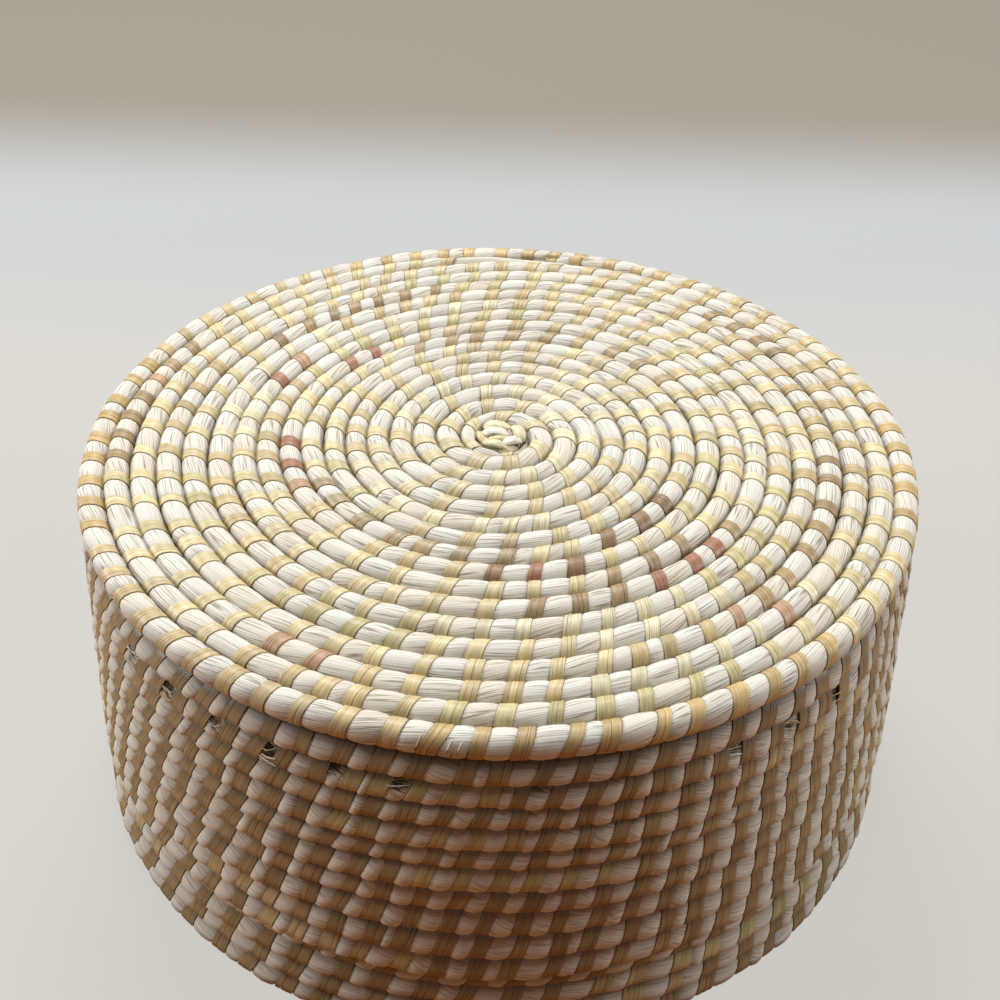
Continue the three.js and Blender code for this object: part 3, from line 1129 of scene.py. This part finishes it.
class BASKET_OT_heel(bpy.types.Operator):
    """Coils the four lowest rows of the wall"""

    bl_idname = "basket.heel"
    bl_label = "Heel"

    def execute(self, context):
        coil = wall_rows(wall_bottom() * np.cumsum((0, *HEEL_SHARES)), heel_radius)
        form = {"lean": 1.8 * MILLI, "width": 1.2, "columns": COLUMN_TURNING}
        sewing = wall_sewing(coil, stitches().heel_spacing, seed=15, **form)
        sewn_coil("heel_coil", "heel_coil", "basket", sewing, WALL_PILLOW, between=(0.0, SKY))
        return {"FINISHED"}


class BASKET_OT_wall(bpy.types.Operator):
    """Coils the nine rows of the wall"""

    bl_idname = "basket.wall"
    bl_label = "Wall"

    def execute(self, context):
        rise = mouth_bottom() - wall_bottom()
        coil = wall_rows(wall_bottom() + rise * np.cumsum((0, *WALL_SHARES)), wall_radius)
        form = {"lean": 1.9 * MILLI, "width": 1.04, "columns": COLUMN_TURNING}
        sewing = wall_sewing(coil, stitches().wall_spacing, seed=16, **form)
        # The straw breaks half way between two stitches
        worn = []
        for degrees, height, depth in WORN_PLACES:
            after = np.searchsorted(sewing.turns, coil.turn_at(WALL_ROWS - 1, degrees))
            middle = (sewing.turns[after - 1] + sewing.turns[after]) / 2
            worn.append((middle, math.radians(height), depth * MILLI))
        sewn_coil("wall_coil", "wall_coil", "basket", sewing, WALL_PILLOW, worn=worn)
        fibres = loose_straw(coil, worn, sewing.random)
        bent_tubes("wall_loose_straw", "basket", fibres, blunt=2)
        return {"FINISHED"}


class BASKET_OT_mouth(bpy.types.Operator):
    """Coils the top row of the wall, on which the lid rests"""

    bl_idname = "basket.mouth"
    bl_label = "Mouth"

    def execute(self, context):
        coil = wall_rows((mouth_bottom(), lid_bottom_height()), wall_radius, COIL_FULLNESS)
        sewing = wall_sewing(coil, stitches().wall_spacing, seed=17, lean=1.9 * MILLI, width=1.04)
        between = (0.0, lid_bottom_height())
        sewn_coil("mouth_rim", "mouth_rim_coil", "basket", sewing, WALL_PILLOW, between)
        return {"FINISHED"}


class BASKET_OT_knots(bpy.types.Operator):
    """Wraps the starts of the two flat coils"""

    bl_idname = "basket.knots"
    bl_label = "Centre knots"

    def execute(self, context):
        for name, node, body, bottom in (
            ("lid_knot", "lid_centre_knot", "lid", float(lid_bottom(0.0))),
            ("floor_knot", "base_centre_knot", "basket", 0.0),
        ):
            form = {"spacing": 5.6 * MILLI, "lean": 2.2 * MILLI, "width": 6.0 * MILLI}
            sewing = Sewing(knot_coil(bottom), KNOT_PALETTE, seed=18, **form)
            # The wraps lie over one another
            sewing.lift = sewing.random.uniform(0.3, 2.6, len(sewing.turns))
            sewn_coil(name, node, body, sewing, 0.1 * MILLI, between=(bottom, SKY), strips="wraps")
            top = bottom + sizes().flat_thickness
            folds = []
            for *line, width, colour in KNOT_FOLDS:
                points = [(x * MILLI, y * MILLI, top + down * MILLI) for x, y, down in line]
                folds.append((*points, width * MILLI, FOLD_HEIGHT, colour_of(colour)))
            bent_tubes(f"{name}_folds", body, folds, blunt=3)
        return {"FINISHED"}


FLOOR_HALF_SIZE = 40.0

# Lamps, which all shine at one point: name, place, size and power
LAMPS = (
    ("back_window", (-0.2, 0.9, 1.5), 0.7, 23.5),
    ("left_window", (-1.5, 0.2, 0.7), 0.6, 18),
    ("right_window", (1.5, 0.2, 0.7), 0.6, 13.5),
    ("ceiling", (0.0, -0.3, 1.9), 0.6, 7.5),
)
LAMP_AIM = (0, 0, 0.1)

# The camera looks down at the lid from the front, rolled a little
CAMERA_SENSOR = 36
CAMERA_LENS = 50.8
CAMERA_PLACE = (0.0004, -0.4223, 0.4336)
CAMERA_FORWARD = (0.0, 0.7925, -0.6099)
CAMERA_ROLL = 0.0263

# The room is pale to the eye and in reflections, and gives little light of its own
ROOM_COLOUR = (0.92, 0.89, 0.84, 1)
ROOM_SEEN = 0.5
ROOM_LIGHT = 0.03


class BASKET_OT_stage(bpy.types.Operator):
    """Sets the floor, the lights and the camera"""

    bl_idname = "basket.stage"
    bl_label = "Stage"

    def execute(self, context):
        scene = context.scene
        scene.view_settings.view_transform = "Standard"
        bm = bmesh.new()
        bmesh.ops.create_grid(bm, x_segments=1, y_segments=1, size=FLOOR_HALF_SIZE)
        board = new_object("floor_board", bm, BOARD)
        world = bpy.data.worlds.new("soft room light")
        scene.world = world
        world.use_nodes = True
        tree = world.node_tree
        ray = add_node(tree, "ShaderNodeLightPath")
        seen = calculate(tree, "MAXIMUM", ray.outputs["Is Camera Ray"], ray.outputs["Is Glossy Ray"])
        room = tree.nodes["Background"]
        room.inputs["Color"].default_value = ROOM_COLOUR
        strength = calculate(tree, "MULTIPLY_ADD", seen, ROOM_SEEN, ROOM_LIGHT)
        tree.links.new(strength, room.inputs["Strength"])
        for name, place, size, energy in LAMPS:
            lamp = bpy.data.lights.new(name, "AREA")
            lamp.size = size
            lamp.energy = energy
            light = bpy.data.objects.new(name, lamp)
            light.location = place
            aim = Vector(LAMP_AIM) - Vector(place)
            light.rotation_euler = aim.to_track_quat("-Z", "Y").to_euler()
            scene.collection.objects.link(light)
        eye = bpy.data.cameras.new("photo_camera")
        eye.sensor_width = CAMERA_SENSOR
        eye.lens = CAMERA_LENS
        camera = bpy.data.objects.new("photo_camera", eye)
        forward = Vector(CAMERA_FORWARD).normalized()
        right = Vector((1, 0, 0))
        up = right.cross(forward)
        axis_x = math.cos(CAMERA_ROLL) * right + math.sin(CAMERA_ROLL) * up
        axis_y = -math.sin(CAMERA_ROLL) * right + math.cos(CAMERA_ROLL) * up
        turned = Matrix((axis_x, axis_y, -forward)).transposed().to_4x4()
        camera.matrix_world = Matrix.Translation(CAMERA_PLACE) @ turned
        scene.collection.objects.link(camera)
        scene.camera = camera
        return {"FINISHED"}


PIECE_OPERATORS = (
    BASKET_OT_materials,
    BASKET_OT_lid_top,
    BASKET_OT_lid_rim,
    BASKET_OT_locating_ring,
    BASKET_OT_floor,
    BASKET_OT_heel,
    BASKET_OT_wall,
    BASKET_OT_mouth,
    BASKET_OT_knots,
    BASKET_OT_stage,
)


class BASKET_PT_panel(bpy.types.Panel):
    """Lists the pieces of the basket"""

    bl_label = "Lidded coil basket"
    bl_idname = "BASKET_PT_panel"
    bl_space_type = "VIEW_3D"
    bl_region_type = "UI"
    bl_category = "Basket"

    def draw(self, context):
        for operator in PIECE_OPERATORS:
            self.layout.operator(operator.bl_idname)


CLASSES = (BasketSizes, BasketStitches, BasketColours, *PIECE_OPERATORS, BASKET_PT_panel)


def register():
    for cls in CLASSES:
        bpy.utils.register_class(cls)
    bpy.types.Scene.basket_sizes = PointerProperty(type=BasketSizes)
    bpy.types.Scene.basket_stitches = PointerProperty(type=BasketStitches)
    bpy.types.Scene.basket_colours = PointerProperty(type=BasketColours)


def unregister():
    del bpy.types.Scene.basket_colours
    del bpy.types.Scene.basket_stitches
    del bpy.types.Scene.basket_sizes
    for cls in reversed(CLASSES):
        bpy.utils.unregister_class(cls)


def main():
    register()
    bpy.ops.basket.materials()
    bpy.ops.basket.lid_top()
    bpy.ops.basket.lid_rim()
    bpy.ops.basket.locating_ring()
    bpy.ops.basket.floor()
    bpy.ops.basket.heel()
    bpy.ops.basket.wall()
    bpy.ops.basket.mouth()
    bpy.ops.basket.knots()
    bpy.ops.basket.stage()


if __name__ == "__main__":
    main()
